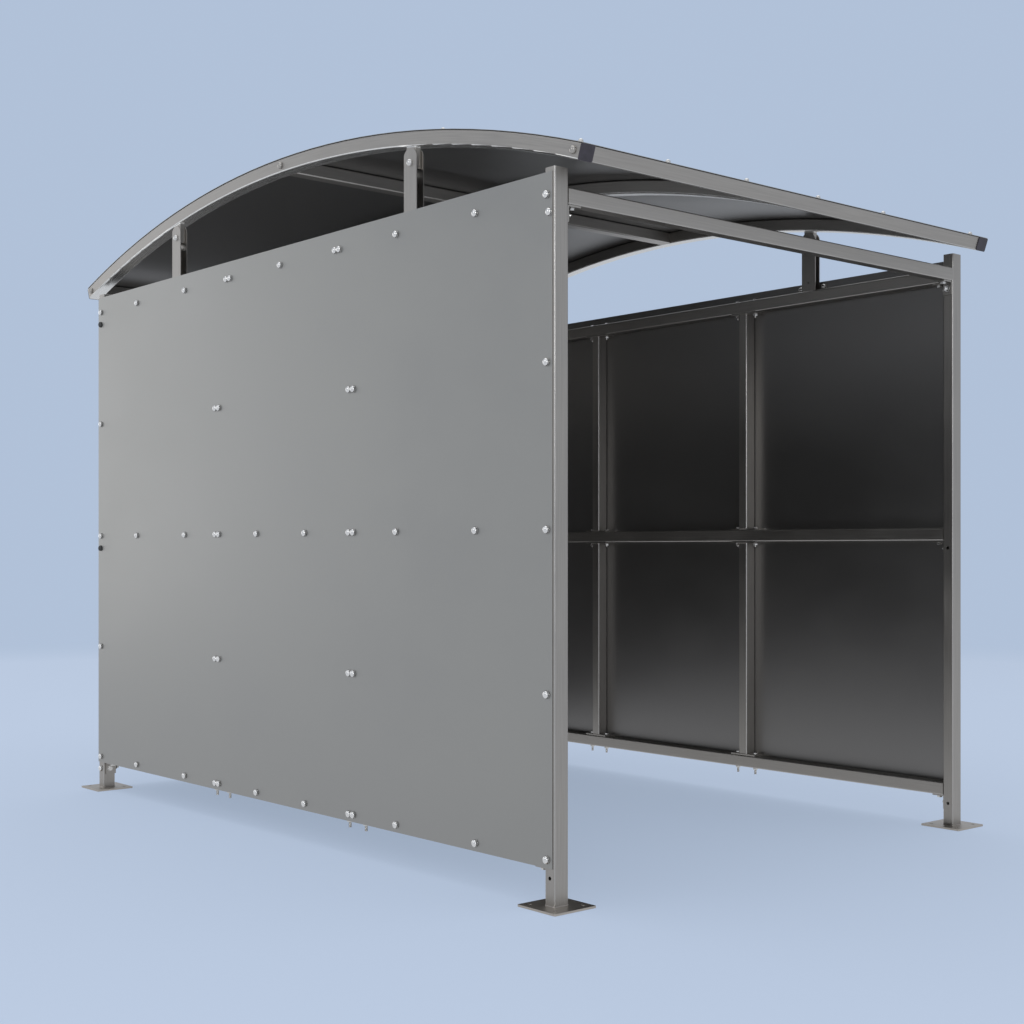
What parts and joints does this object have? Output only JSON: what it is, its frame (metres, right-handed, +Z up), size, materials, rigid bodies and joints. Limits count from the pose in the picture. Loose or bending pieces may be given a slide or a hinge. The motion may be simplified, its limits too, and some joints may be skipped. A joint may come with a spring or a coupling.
{
  "type": "bin shelter",
  "caption": "Free-standing three-sided bin shelter of metal tube and sheet, open at the front, with a curved roof on short uprights.",
  "frame": {"origin": "centre of the overall box, on the ground plane under the base plates", "axes": "+Z up, +X to the right seen from the open front, +Y from the open front to the closed rear"},
  "size_m": [2, 2.9406, 2.2686],
  "materials": {
    "tube": "brushed stainless tube",
    "plate": "ground stainless plate",
    "bracket": "bent stainless plate",
    "wall_sheet": "satin grey sheet, dark on its inner face",
    "roof_skin": "satin grey sheet, dark on its underside",
    "cap": "black plastic end cap of the arches",
    "screw": "stainless bolt, nut or screw"
  },
  "bodies": {
    "root": {"arch_caps": "cap", "arch_left": "tube", "arch_mid": "tube", "arch_right": "tube", "base_plate_front_left": "plate", "base_plate_front_right": "plate", "base_plate_rear_left": "plate", "base_plate_rear_right": "plate", "beam_front": "tube", "beam_rear": "tube", "beam_ridge": "tube", "brackets_left": "bracket", "brackets_lintel": "bracket", "brackets_rear": "bracket", "brackets_right": "bracket", "lintel_front": "tube", "post_caps": "plate", "post_front_left": "tube", "post_front_right": "tube", "post_rear_left": "tube", "post_rear_right": "tube", "rail_left_low": "tube", "rail_left_mid": "tube", "rail_left_top": "tube", "rail_rear_low": "tube", "rail_rear_mid": "tube", "rail_rear_top": "tube", "rail_right_low": "tube", "rail_right_mid": "tube", "rail_right_top": "tube", "ridge_screws": "screw", "roof_sheet": "roof_skin", "sheet_left": "wall_sheet", "sheet_rear": "wall_sheet", "sheet_right": "wall_sheet", "studs_left_front": "tube", "studs_left_rear": "tube", "studs_rear": "tube", "studs_right_front": "tube", "studs_right_rear": "tube", "upright_left_front": "tube", "upright_left_rear": "tube", "upright_right_front": "tube", "upright_right_rear": "tube"}
  },
  "joints": []
}
